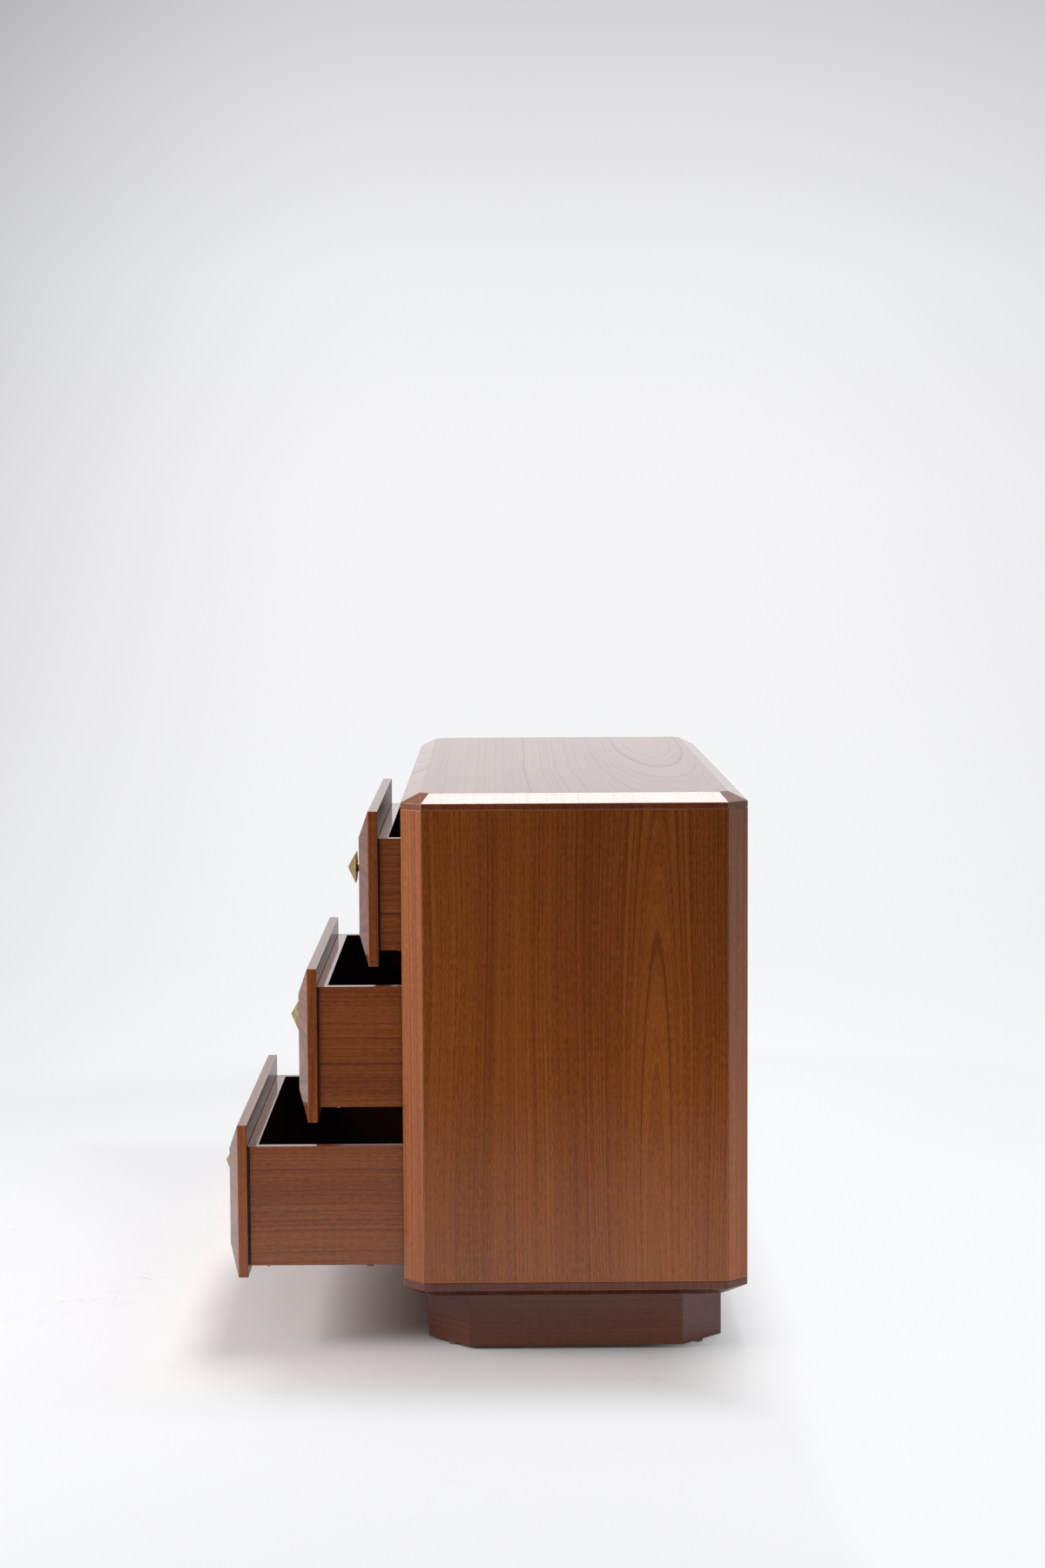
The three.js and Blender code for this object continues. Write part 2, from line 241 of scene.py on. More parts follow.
# %% Floor: its own white, away from the chest's shadow
FLOOR_WHITE, FLOOR_EDGE = paint(251, 252, 254), paint(244, 245, 247)
LIT_REACH, WHITE_REACH, WALL_RADIUS = 0.9, 2.1, 3.6
END_OF_CASE, FADE_AT_END, SHARE_AT_END = 0.75, 0.25, 0.75
BACK_OF_CASE, FADE_AT_BACK, SHARE_AT_BACK = 0.09, 0.26, 0.95
FRONT_OF_CASE, FADE_AT_FRONT, SHARE_AT_FRONT = 0.68, 0.4, 0.8
DIMMER_AT_FLOOR = 0.24

squares = maths(tree, "ADD", maths(tree, "POWER", x, 2.0), maths(tree, "POWER", y, 2.0))
from_middle = maths(tree, "SQRT", squares)
share = spread(tree, from_middle, LIT_REACH, WHITE_REACH, smooth=True)
for place, edge, fade, most in (
        (from_end, END_OF_CASE, FADE_AT_END, SHARE_AT_END),
        (y, BACK_OF_CASE, FADE_AT_BACK, SHARE_AT_BACK),
        (maths(tree, "MULTIPLY", y, -1.0), FRONT_OF_CASE, FADE_AT_FRONT, SHARE_AT_FRONT)):
    beside = spread(tree, place, edge, edge + fade, 0.0, most, smooth=True)
    share = maths(tree, "MAXIMUM", share, beside)
outwards = spread(tree, from_middle, LIT_REACH, WALL_RADIUS)
dim = maths(tree, "MULTIPLY", corner_dimness(tree, x, y), outwards)
dim = maths(tree, "MULTIPLY", dim, DIMMER_AT_FLOOR)
white = add_node(tree, "ShaderNodeEmission", {
    "Color": mixed_colour(tree, outwards, FLOOR_WHITE, FLOOR_EDGE),
    "Strength": maths(tree, "SUBTRACT", 1.0, dim)})
own_white = maths(tree, "MULTIPLY", share, seen_directly(tree))
surface(tree, lit, own_white, white)
floor.data.materials.append(material)
print("the floor is lit by lamps alone within", LIT_REACH, "m")

# %% Backdrop ring
RING_SIDES, WALL_HEIGHT = 128, 7.0
# The wall's glow darkens higher up: painted shade, where the light falls off.
WALL_GLOW_STEPS = (  # metres up, and the colour there
    (0.0, paint(244, 245, 247)), (1.3, paint(245, 245, 247)), (1.9, paint(239, 240, 242)),
    (2.4, paint(224, 224, 227)), (2.9, paint(200, 200, 205)), (3.8, paint(188, 188, 192)))
DIMMER_PER_METRE, DIMMEST = 0.24, 0.3

bpy.ops.object.select_all(action="DESELECT")
bpy.ops.mesh.primitive_cylinder_add(
    vertices=RING_SIDES, radius=WALL_RADIUS, depth=WALL_HEIGHT, end_fill_type="NOTHING",
    location=(0, 0, WALL_HEIGHT / 2))
bpy.ops.object.transform_apply(location=True, rotation=True, scale=True)
backdrop = bpy.context.object
backdrop.name = "backdrop"
bpy.ops.object.mode_set(mode="EDIT")
bpy.ops.mesh.select_all(action="SELECT")
bpy.ops.mesh.normals_make_consistent(inside=True)
bpy.ops.object.mode_set(mode="OBJECT")
bpy.ops.object.shade_smooth()

material = new_material("backdrop")
tree = material.node_tree
x, y, z = object_place(tree)
stops = [(up / WALL_HEIGHT, colour) for up, colour in WALL_GLOW_STEPS]
wall_glow = colours_along(tree, maths(tree, "DIVIDE", z, WALL_HEIGHT), stops)
strength = maths(tree, "MULTIPLY_ADD", z, DIMMER_PER_METRE, DIMMER_AT_FLOOR)
dim = maths(tree, "MULTIPLY", corner_dimness(tree, x, y), strength)
brightness = maths(tree, "MAXIMUM", maths(tree, "SUBTRACT", 1.0, dim), DIMMEST)
behind = add_node(tree, "ShaderNodeNewGeometry").outputs["Backfacing"]
shown = maths(tree, "MULTIPLY", seen_directly(tree), maths(tree, "SUBTRACT", 1.0, behind))
clear = add_node(tree, "ShaderNodeBsdfTransparent")
glow = add_node(tree, "ShaderNodeEmission", {"Color": wall_glow, "Strength": brightness})
surface(tree, clear, shown, glow)
backdrop.data.materials.append(material)
print("backdrop ring", WALL_RADIUS, "m round the chest")

# %% Dark cloth on the camera's side
CLOTH_LIFT = 0.002
CLOTH_NEAR, CLOTH_DARK, CLOTH_FAR = 0.65, 3.0, 3.3
CLOTH_HALF, CLOTH_TOP = 1.3, 2.6
CLOTH = paint(10, 10, 11)

bpy.ops.object.select_all(action="DESELECT")
bpy.ops.mesh.primitive_plane_add(size=1)
cloth = bpy.context.object
cloth.name = "dark_cloth"
cloth.scale = (CLOTH_FAR - CLOTH_NEAR, 2 * CLOTH_HALF, 1)
cloth.location = ((CLOTH_FAR + CLOTH_NEAR) / 2, 0, CLOTH_LIFT)
bpy.ops.object.transform_apply(location=True, rotation=True, scale=True)
bpy.ops.object.mode_set(mode="EDIT")
bpy.ops.mesh.select_all(action="DESELECT")
bpy.ops.mesh.select_mode(type="EDGE")
mesh = bmesh.from_edit_mesh(cloth.data)
for edge in mesh.edges:
    edge.select_set(all(abs(end.co.x - CLOTH_FAR) < CLOTH_LIFT for end in edge.verts))
bmesh.update_edit_mesh(cloth.data)
bpy.ops.mesh.extrude_region_move(TRANSFORM_OT_translate={"value": (0, 0, CLOTH_TOP)})
bpy.ops.object.mode_set(mode="OBJECT")

material = new_material("dark cloth")
tree = material.node_tree
x, _, _ = object_place(tree)
closed = spread(tree, x, CLOTH_NEAR, CLOTH_DARK, smooth=True)
clear = add_node(tree, "ShaderNodeBsdfTransparent")
black = add_node(tree, "ShaderNodeBsdfDiffuse", {"Color": CLOTH})
surface(tree, clear, closed, black)
cloth.data.materials.append(material)
cloth.visible_camera = False
cloth.visible_shadow = False
cloth.visible_diffuse = False
print("dark cloth from", CLOTH_NEAR, "to", CLOTH_FAR, "m")

# %% [markdown]
# ## Light
#
# The near bevel of the top is a bright white strip in the photograph: it mirrors a large softbox
# that hangs behind and above the chest. That softbox is the main light, and it throws the shadow
# towards the camera. A second one lights the fronts and the paler post, and two weak ones from
# behind keep the cut corners of the top readable. A low card beside the right end throws a little
# light up the side panel and the back post, which are brightest at their foot. An even sky
# fills the rest. A mirror ball picture of a studio would do it too, but lamps can be moved.

# %% Lamps and sky
AIM_AT = Vector((0.1, -0.1, 0.35))
CARD_SPREAD = math.radians(80)
SKY = paint(108, 109, 112)
LAMPS = {
    "softbox_overhead": ((-0.55, 0.12, 4.0), (-0.55, 0.12, 0), 2.3, 1.0, 82.0),
    "softbox_front": ((1.2, -3.3, 2.1), AIM_AT, 2.0, 1.8, 118.0),
    "softbox_back": ((-2.7, 1.65, 3.3), AIM_AT, 1.4, 1.4, 4.4),
    "softbox_back_left": ((-2.7, -1.35, 3.3), AIM_AT, 1.2, 1.2, 1.1),
    "bounce_card": ((1.3, 0.7, 0.08), (0.635, 0.1, 0.16), 1.0, 0.12, 0.8),
}
for name, (place, target, width, depth, watts) in LAMPS.items():
    turn = (Vector(place) - Vector(target)).to_track_quat("Z", "Y").to_euler()
    bpy.ops.object.light_add(type="AREA", location=place, rotation=turn)
    lamp = bpy.context.object
    lamp.name = name
    lamp.data.shape = "RECTANGLE"
    lamp.data.size, lamp.data.size_y = width, depth
    lamp.data.energy = watts
    lamp.visible_camera = False
card = bpy.data.objects["bounce_card"]
card.visible_glossy = False
card.data.spread = CARD_SPREAD

world = bpy.data.worlds.new("studio sky")
world.use_nodes = True
world.node_tree.nodes["Background"].inputs["Color"].default_value = SKY
scene.world = world
print(len(LAMPS), "lamps")

# %% [markdown]
# ## What veneer looks like
#
# Veneer is a thin sheet sliced from a log. Where the slice passes near the heart, the growth
# rings show as tall arches; further out they run as straight lines. Each ring darkens slowly and
# ends in a thin dark line, and some rings are much darker than others. Over that lie long soft
# streaks, fine fibres, and open pores that catch the lacquer as short dark dashes.
# A picture of wood would be quicker, but a rebuilt log never repeats and fits every board.
# The group below takes a place on the sheet, in metres along and across the grain. Every two
# metres along, the next sheet begins, so each drawer front can be cut from one of its own.

# %% The sheet, and the noises on it
SHEET_LENGTH = 2.0
NOISES = {  # repeats per metre along and across the grain, then detail and roughness
    "bend": (1.3, 3.0, 1.0, 0.5),
    "ripple": (14.0, 30.0, 2.0, 0.5),
    "heart": (0.7, 1.0, 1.0, 0.5),
    "uneven": (1.0, 22.0, 1.0, 0.5),
    "broken": (6.0, 60.0, 2.0, 0.5),
    "streak": (1.0, 300.0, 3.0, 0.7),
    "band": (0.4, 14.0, 1.0, 0.5),
    "fibre": (22.0, 1300.0, 2.0, 0.5),
    "fleck": (110.0, 560.0, 2.0, 0.5),
    "pore": (75.0, 2300.0, 1.0, 0.5),
}

figure = bpy.data.node_groups.new("wood figure", "ShaderNodeTree")
for name, default in (
        ("Ring gap", 0.009), ("Heart depth", 0.05), ("Taper", 0.0), ("Wander", 0.02)):
    socket = figure.interface.new_socket(
        name=name, in_out="INPUT", socket_type="NodeSocketFloat")
    socket.default_value = default
figure.interface.new_socket(name="Place", in_out="INPUT", socket_type="NodeSocketVector")
for name in ("Tone", "Ring", "Pore", "Height"):
    figure.interface.new_socket(name=name, in_out="OUTPUT", socket_type="NodeSocketFloat")
sheet = add_node(figure, "NodeGroupInput")
along, across, _ = add_node(figure, "ShaderNodeSeparateXYZ", {0: sheet.outputs["Place"]}).outputs


def sheet_noise(name, along, across):
    """One of the noises, stretched by giving each direction its own repeats per metre."""
    along_scale, across_scale, detail, roughness = NOISES[name]
    place = add_node(figure, "ShaderNodeCombineXYZ", {
        0: maths(figure, "MULTIPLY", along, along_scale),
        1: maths(figure, "MULTIPLY", across, across_scale),
    })
    sockets = {
        "Vector": place.outputs[0], "Scale": 1.0, "Detail": detail, "Roughness": roughness}
    return add_node(figure, "ShaderNodeTexNoise", sockets, noise_dimensions="2D").outputs[0]


def either_way(noise):
    """A noise moved down to lie about zero."""
    return maths(figure, "SUBTRACT", noise, 0.5)


print("sheets of", SHEET_LENGTH, "m, with", len(NOISES), "noises on them")

# %% Growth rings, as the distance from the heart of the log
RIPPLE_REACH = 0.0006
HEART_WIDTH, HEART_LEVEL, HEART_SWAY = 0.15, 0.28, 3.0
RING_JITTER = 4.0
PALE_RINGS, PALEST = 1.6, 0.2
LINE_STARTS, LINE_ENDS = (0.78, 0.91), (0.94, 1.0)
GAPS_IN_LINE, GAP_STRENGTH = (0.3, 0.6), 0.55

bend = either_way(sheet_noise("bend", along, across))
ripple = either_way(sheet_noise("ripple", along, across))
off_line = maths(figure, "MULTIPLY_ADD", bend, sheet.outputs["Wander"], across)
off_line = maths(figure, "MULTIPLY_ADD", ripple, RIPPLE_REACH, off_line)
depth = maths(figure, "SUBTRACT", sheet_noise("heart", along, 0.0), HEART_LEVEL)
depth = maths(figure, "MULTIPLY", depth, sheet.outputs["Heart depth"])
on_sheet = maths(figure, "FLOORED_MODULO", along, SHEET_LENGTH)
tapered = maths(figure, "MULTIPLY", on_sheet, sheet.outputs["Taper"])
depth = maths(figure, "MULTIPLY_ADD", depth, HEART_SWAY, tapered)
flank = maths(figure, "POWER", maths(figure, "DIVIDE", off_line, HEART_WIDTH), 2.0)
depth = maths(figure, "DIVIDE", depth, maths(figure, "ADD", flank, 1.0))
squares = maths(
    figure, "ADD", maths(figure, "MULTIPLY", off_line, off_line),
    maths(figure, "MULTIPLY", depth, depth))
radius = maths(figure, "SQRT", squares)

rings = maths(figure, "DIVIDE", radius, sheet.outputs["Ring gap"])
rings = maths(figure, "MULTIPLY_ADD", sheet_noise("uneven", 0.0, radius), RING_JITTER, rings)
number = maths(figure, "FLOOR", rings)
part = maths(figure, "SUBTRACT", rings, number)
strength = add_node(
    figure, "ShaderNodeTexWhiteNoise", {"W": number}, noise_dimensions="1D").outputs["Value"]
strength = maths(figure, "POWER", strength, PALE_RINGS)
strength = maths(figure, "MULTIPLY_ADD", strength, 1 - PALEST, PALEST)
thin_line = maths(
    figure, "MULTIPLY", spread(figure, part, *LINE_STARTS, smooth=True),
    spread(figure, part, *LINE_ENDS, 1.0, 0.0))
broken = spread(figure, sheet_noise("broken", along, radius), *GAPS_IN_LINE, GAP_STRENGTH, 1.0)
ring = maths(figure, "MULTIPLY", maths(figure, "MULTIPLY", thin_line, strength), broken)
print("rings take", len(figure.nodes), "nodes")

# %% Tone, pores and relief
TONE_SHARES = {"streak": 0.78, "band": 0.5, "fibre": 0.4, "fleck": 0.56}
RING_SHADE, SHADE_CURVE = -0.22, 3.0
PORE_EDGES = (0.6, 0.7)
PORE_RELIEF, FIBRE_RELIEF, RING_RELIEF = -1.0, 0.35, -0.9

fibre = sheet_noise("fibre", along, off_line)
tones = {
    "streak": sheet_noise("streak", along, radius),
    "band": sheet_noise("band", along, radius),
    "fibre": fibre,
    "fleck": sheet_noise("fleck", along, off_line),
}
tone = 0.5
for name, noise in tones.items():
    tone = maths(figure, "MULTIPLY_ADD", either_way(noise), TONE_SHARES[name], tone)
shaded = maths(figure, "MULTIPLY", maths(figure, "POWER", part, SHADE_CURVE), strength)
tone = maths(figure, "MULTIPLY_ADD", shaded, RING_SHADE, tone)

pore = spread(figure, sheet_noise("pore", along, off_line), *PORE_EDGES, smooth=True)
height = maths(figure, "MULTIPLY", fibre, FIBRE_RELIEF)
height = maths(figure, "MULTIPLY_ADD", pore, PORE_RELIEF, height)
height = maths(figure, "MULTIPLY_ADD", ring, RING_RELIEF, height)
add_node(figure, "NodeGroupOutput", {"Tone": tone, "Ring": ring, "Pore": pore, "Height": height})
print("wood figure group holds", len(figure.nodes), "nodes")

# %% [markdown]
# ## Lacquered woods
#
# The same figure serves every wood on the chest; only the colours, the ring gap and the gloss
# change. The clear lacquer is a coat over the wood, which mirrors the pale studio at low angles,
# as the top does in the photograph. The wood itself stays rough under it. The grain comes from
# a map that is laid on each board later, so that a rail's grain runs along the rail. Boards
# whose CAD shape stays have no such map, and read their own axes instead.

# %% Lacquered wood, as one helper
GRAIN = "grain"
DARK_AT, MIDDLE_AT, LIGHT_AT = 0.18, 0.5, 0.82
PORE_SHARE = 0.45
DULL_TONE, BRIGHT_TONE, DULL_ROUGHNESS, BRIGHT_ROUGHNESS = 0.2, 0.8, 0.5, 0.36
RELIEF_STRENGTH, RELIEF_DEPTH = 0.35, 0.00012
WOOD_SHINE, LACQUER_IOR = 0.1, 1.5


def grain_map(tree):
    """The place on the sheet, from the map that is laid on each piece."""
    return add_node(tree, "ShaderNodeUVMap", uv_map=GRAIN).outputs[0]


def grain_through(tree, turn):
    """The place on the sheet, from the object's own axes, turned to bring X along the grain."""
    texture = add_node(tree, "ShaderNodeTexCoord")
    sockets = {0: texture.outputs["Object"], "Rotation": turn}
    return add_node(tree, "ShaderNodeMapping", sockets).outputs[0]


def lacquered_wood(name, light, middle, dark, line, ring_gap=0.009, ring_share=0.5, heart=0.05,
                   taper=0.0, wander=0.012, coat=0.92, coat_dip=0.0, coat_roughness=0.09,
                   turn=None):
    """Wood under clear lacquer, in colours from a paint chart. coat_dip sinks it into the rings."""
    material = new_material(name)
    tree = material.node_tree
    wood = add_node(tree, "ShaderNodeGroup", node_tree=figure)
    tree.links.new(
        grain_map(tree) if turn is None else grain_through(tree, turn), wood.inputs["Place"])
    wood.inputs["Ring gap"].default_value = ring_gap
    wood.inputs["Heart depth"].default_value = heart
    wood.inputs["Taper"].default_value = taper
    wood.inputs["Wander"].default_value = wander

    stops = (DARK_AT, paint(*dark)), (MIDDLE_AT, paint(*middle)), (LIGHT_AT, paint(*light))
    toned = colours_along(tree, wood.outputs["Tone"], stops)
    lined = mixed_colour(
        tree, maths(tree, "MULTIPLY", wood.outputs["Ring"], ring_share), toned, paint(*line))
    pored = mixed_colour(
        tree, maths(tree, "MULTIPLY", wood.outputs["Pore"], PORE_SHARE), lined, paint(*line))

    gloss = spread(
        tree, wood.outputs["Tone"], DULL_TONE, BRIGHT_TONE, DULL_ROUGHNESS, BRIGHT_ROUGHNESS)
    bump = add_node(tree, "ShaderNodeBump", {
        "Height": wood.outputs["Height"], "Strength": RELIEF_STRENGTH, "Distance": RELIEF_DEPTH})
    shader = add_node(tree, "ShaderNodeBsdfPrincipled", {
        "Base Color": pored,
        "Roughness": gloss,
        "Normal": bump.outputs[0],
        "Specular IOR Level": WOOD_SHINE,
        "Coat Weight": coat,
        "Coat Roughness": coat_roughness,
        "Coat IOR": LACQUER_IOR,
    })
    if coat_dip:
        dipped = maths(tree, "MULTIPLY_ADD", wood.outputs["Ring"], -coat_dip, coat)
        tree.links.new(dipped, shader.inputs["Coat Weight"])
    surface(tree, shader)
    return material


# %% Woods of the case
case_veneer = lacquered_wood(
    "case veneer", (164, 92, 34), (143, 76, 25), (115, 54, 15), (66, 27, 10),
    ring_gap=0.006, ring_share=0.4, heart=0.012, taper=0.038, wander=0.035)
top_veneer = lacquered_wood(
    "top veneer", (158, 86, 34), (138, 71, 24), (115, 53, 15), (60, 24, 9),
    ring_gap=0.012, ring_share=0.4, heart=0.012, taper=0.07, wander=0.025,
    coat=0.87, coat_dip=0.12)
post_wood = lacquered_wood(
    "post wood", (178, 101, 40), (152, 80, 28), (120, 58, 18), (90, 40, 14),
    ring_gap=0.006, wander=0.008, coat=0.7)
plinth_wood = lacquered_wood(
    "plinth wood", (106, 54, 31), (92, 45, 25), (76, 34, 19), (46, 19, 12),
    coat=0.8, coat_roughness=0.14)
# A darker copy of the wood, painted shade, for the base's under-bevel and the drawer lips' ends.
painted_shade_wood = lacquered_wood(
    "painted shade wood", (86, 43, 22), (72, 34, 16), (57, 26, 12), (36, 15, 8),
    coat=0.25, coat_roughness=0.14)
end_grain = lacquered_wood(
    "end grain", (140, 76, 42), (120, 62, 34), (98, 48, 26), (62, 28, 15), ring_gap=0.005)
# A paler finish for the eased edges: part wear, part a painted highlight along each arris.
arris_wear_and_highlight = lacquered_wood(
    "arris wear and highlight", (180, 114, 70), (164, 98, 56), (144, 82, 45), (112, 58, 32),
    ring_share=0.3, coat_roughness=0.2)

INNER_PAINTS = (96, 56, 38), (82, 46, 31), (66, 36, 24), (44, 22, 15)
LEVEL, STANDING = (0, 0, 0), (0, -QUARTER_TURN, 0)
inner_wood, divider_wood, partition_wood = (
    lacquered_wood(name, *INNER_PAINTS, coat_roughness=0.3, turn=turn)
    for name, turn in (
        ("inner wood", None), ("divider wood", LEVEL), ("partition wood", STANDING)))
print("woods:", [m.name for m in bpy.data.materials if "wood" in m.name or "veneer" in m.name])

# %% Woods of the drawers
FRONT_PAINTS = (134, 70, 30), (112, 55, 21), (88, 39, 13), (50, 20, 8)
DRAWER_PAINTS = (156, 88, 44), (136, 72, 34), (108, 52, 25), (70, 30, 16)
front_veneer = lacquered_wood(
    "front veneer", *FRONT_PAINTS, ring_gap=0.008, ring_share=0.7, heart=0.012, taper=0.09,
    wander=0.02, coat=0.74, coat_roughness=0.05)
front_back_wood = lacquered_wood(
    "front back wood", *FRONT_PAINTS, ring_share=0.7, coat=0.4, coat_roughness=0.14)
front_lipping = lacquered_wood(
    "front lipping", (160, 88, 42), (138, 73, 32), (112, 54, 22), (70, 30, 14),
    coat=0.74, coat_roughness=0.05)
drawer_wood = lacquered_wood(
    "drawer wood", *DRAWER_PAINTS, ring_gap=0.0085, heart=0.03, wander=0.03, coat=0.8,
    coat_roughness=0.1)
drawer_edge = lacquered_wood(
    "drawer edge", *DRAWER_PAINTS, ring_gap=0.0085, coat=1.0, coat_roughness=0.05)
drawer_lining = lacquered_wood(
    "drawer lining", (62, 32, 23), (49, 25, 18), (34, 17, 12), (20, 10, 7),
    ring_gap=0.014, ring_share=0.6, coat_roughness=0.1)
print("drawer woods:", [m.name for m in bpy.data.materials if m.name.startswith("drawer")])

# %% [markdown]
# ## Metals
#
# The knobs are cast brass that has been brushed and left to darken: warm, not yellow, brighter
# where hands rub the rims and duller in the corners. Steel is used for the glides, and for the
# small fastenings nobody looks at. Both are metals whose roughness carries the story.

# %% Brass and steel
TARNISHED_AT, POLISHED_AT = 0.34, 0.62
BRUSHING = (0.12, 1.0, 1.0)
TARNISH_ROUGHNESS, POLISH, SCRATCH_ROUGHNESS = 0.08, -0.16, 0.1
SCRATCH_STRENGTH = 0.4


def metal(name, bright, dull, roughness, cloud_size, scratch_size, bump_height):
    """A worn metal: clouds of tarnish, fine brushing and a soft satin gloss."""
    material = new_material(name)
    tree = material.node_tree
    place = add_node(tree, "ShaderNodeTexCoord").outputs["Object"]
    cloud = add_node(tree, "ShaderNodeTexNoise", {
        "Vector": place, "Scale": 1 / cloud_size, "Detail": 4.0, "Roughness": 0.6}).outputs[0]
    stretched = add_node(tree, "ShaderNodeMapping", {0: place, "Scale": BRUSHING}).outputs[0]
    brushed = add_node(tree, "ShaderNodeTexNoise", {
        "Vector": stretched, "Scale": 1 / scratch_size, "Detail": 3.0}).outputs[0]
    stops = (TARNISHED_AT, paint(*dull)), (POLISHED_AT, paint(*bright))
    clouded = colours_along(tree, cloud, stops)
    gloss = maths(tree, "MULTIPLY_ADD", cloud, POLISH, roughness + TARNISH_ROUGHNESS)
    gloss = maths(tree, "MULTIPLY_ADD", brushed, SCRATCH_ROUGHNESS, gloss)
    bump = add_node(tree, "ShaderNodeBump", {
        "Height": brushed, "Strength": SCRATCH_STRENGTH, "Distance": bump_height})
    shader = add_node(tree, "ShaderNodeBsdfPrincipled", {
        "Base Color": clouded, "Roughness": gloss, "Normal": bump.outputs[0], "Metallic": 1.0})
    surface(tree, shader)
    return material


knob_brass = metal(
    "knob brass", (194, 164, 116), (150, 122, 82), 0.32, 0.012, 0.0012, 0.00006)
glide_metal = metal(
    "glide metal", (168, 166, 163), (118, 116, 114), 0.38, 0.006, 0.0009, 0.00004)
print("metals:", knob_brass.name, "and", glide_metal.name)

# %% [markdown]
# ## Shaping boards
#
# No real edge is knife sharp: it is eased with sandpaper, and that narrow face is what catches
# the light along a board. A bevel in the shader would fake it, but the shape itself is kept with
# the model, so each board is really bevelled. The narrow faces also get a paler finish, part wear
# and part painted highlight. Boards with grooves or notches start as a merged copy of their CAD
# shape; plain and mitred forms are built from a block by hand.

# %% Helpers for shaping
ALONG, DEEP, UP = (1, 0, 0), (0, 1, 0), (0, 0, 1)
ARRIS = 0.0008
SHARP = math.radians(24)
WELD = 0.00001
FLAT = math.radians(0.4)
SHORTEST = 3.0
FACING = 0.9  # the least of its normal along an axis for a face to look that way
SLIVER = 0.0001  # square metres, more than any face of an eased edge


def alone(piece):
    """Makes a piece the only selected and the active one."""
    bpy.ops.object.select_all(action="DESELECT")
    piece.select_set(True)
    bpy.context.view_layer.objects.active = piece


def add_block(name, low, high):
    """A block at its size and place, with its object at the origin."""
    bpy.ops.object.select_all(action="DESELECT")
    middle = [(a + b) / 2 for a, b in zip(low, high)]
    size = [b - a for a, b in zip(low, high)]
    bpy.ops.mesh.primitive_cube_add(size=1, location=middle, scale=size)
    bpy.ops.object.transform_apply(location=True, rotation=True, scale=True)
    piece = bpy.context.object
    piece.name = piece.data.name = name
    return piece


def board_from(node):
    """A board in the shape of a CAD node, its loose triangles merged into whole flat faces."""
    piece = bpy.data.objects.new(node + "_board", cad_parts[node].data.copy())
    scene.collection.objects.link(piece)
    piece.data.materials.clear()
    alone(piece)
    bpy.ops.mesh.customdata_custom_splitnormals_clear()
    bpy.ops.object.mode_set(mode="EDIT")
    bpy.ops.mesh.select_all(action="SELECT")
    bpy.ops.mesh.remove_doubles(threshold=WELD)
    bpy.ops.mesh.dissolve_limited(angle_limit=FLAT)
    bpy.ops.object.mode_set(mode="OBJECT")
    bpy.ops.object.shade_flat()
    return piece


def pick(piece, kind, wanted):
    """In edit mode, selects only the faces or edges that wanted() says yes to."""
    bpy.ops.mesh.select_mode(type=kind)
    bpy.ops.mesh.select_all(action="DESELECT")
    mesh = bmesh.from_edit_mesh(piece.data)
    mesh.normal_update()
    for part in mesh.faces if kind == "FACE" else mesh.edges:
        if wanted(part):
            part.select_set(True)
    bmesh.update_edit_mesh(piece.data)


def ease_edges(piece, arris=ARRIS, sharp=SHARP):
    """Takes the sharpness off the outer edges. Those narrow faces get the second finish."""
    alone(piece)
    bpy.ops.object.mode_set(mode="EDIT")
    pick(piece, "EDGE", lambda edge: edge.is_convex and edge.calc_face_angle(0) > sharp
         and edge.calc_length() > SHORTEST * arris)
    bpy.ops.mesh.bevel(offset=arris, segments=2, affect="EDGES", material=1)
    bpy.ops.object.mode_set(mode="OBJECT")


print("arris of", ARRIS * 1000, "mm on every outer edge")

# %% Helpers for finishing
FOLLOWS = 0.5  # how much of a direction lies in a face whose grain follows it


def lay_grain(piece, lead, cut, then=UP):
    """Maps each face in metres, from the place on its sheet where the board is cut.

    The grain runs along lead. On a face that lead points at, it runs along then instead.
    """
    mesh = bmesh.new()
    mesh.from_mesh(piece.data)
    grain = mesh.loops.layers.uv.new(GRAIN)
    directions = [Vector(axis) for axis in (lead, then, ALONG, DEEP)]
    for face in mesh.faces:
        for direction in directions:
            flow = direction - direction.dot(face.normal) * face.normal
            if flow.length > FOLLOWS:
                break
        flow.normalize()
        side = face.normal.cross(flow)
        for corner in face.loops:
            place = corner.vert.co
            corner[grain].uv = (place.dot(flow) + cut[0], place.dot(side) + cut[1])
    mesh.to_mesh(piece.data)
    mesh.free()


def wear(piece, *finishes):
    """Adds finishes to a piece. Faces start in the first, and eased edges get the second."""
    for finish in finishes:
        piece.data.materials.append(finish)


def give_faces(piece, finish, wanted):
    """Gives a finish that the piece wears to the faces wanted() says yes to."""
    number = piece.data.materials.find(finish.name)
    for face in piece.data.polygons:
        if wanted(face):
            face.material_index = number


def settle(piece, body, slot, *nodes):
    """Attaches a piece to the body it rides on, and hides the CAD nodes it replaces.
    The slot argument is not used.
    """
    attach(piece, body)
    if nodes:
        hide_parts(*nodes)


print("the grain is laid on a map named", GRAIN)

# %% [markdown]
# ## The top
#
# The top is a panel with its corners cut off, a low square edge, and a wide bevel that rises to
# the flat and goes round the cut corners too. It starts as a block, the four upright edges are
# bevelled into the corner cuts, and one inset of the upper face gives run and rise at once, with
# mitres that meet of themselves. The ends show end grain, which drinks more stain and goes dark.

# %% Top panel
CORNER_CUT = 0.030
TOP_BAND = 0.009
BEVEL_RUN, BEVEL_RISE = 0.028, 0.0135
TOP_CUT = (0.7, -0.15)
UPRIGHT, ENDWARD = 0.1, 0.6

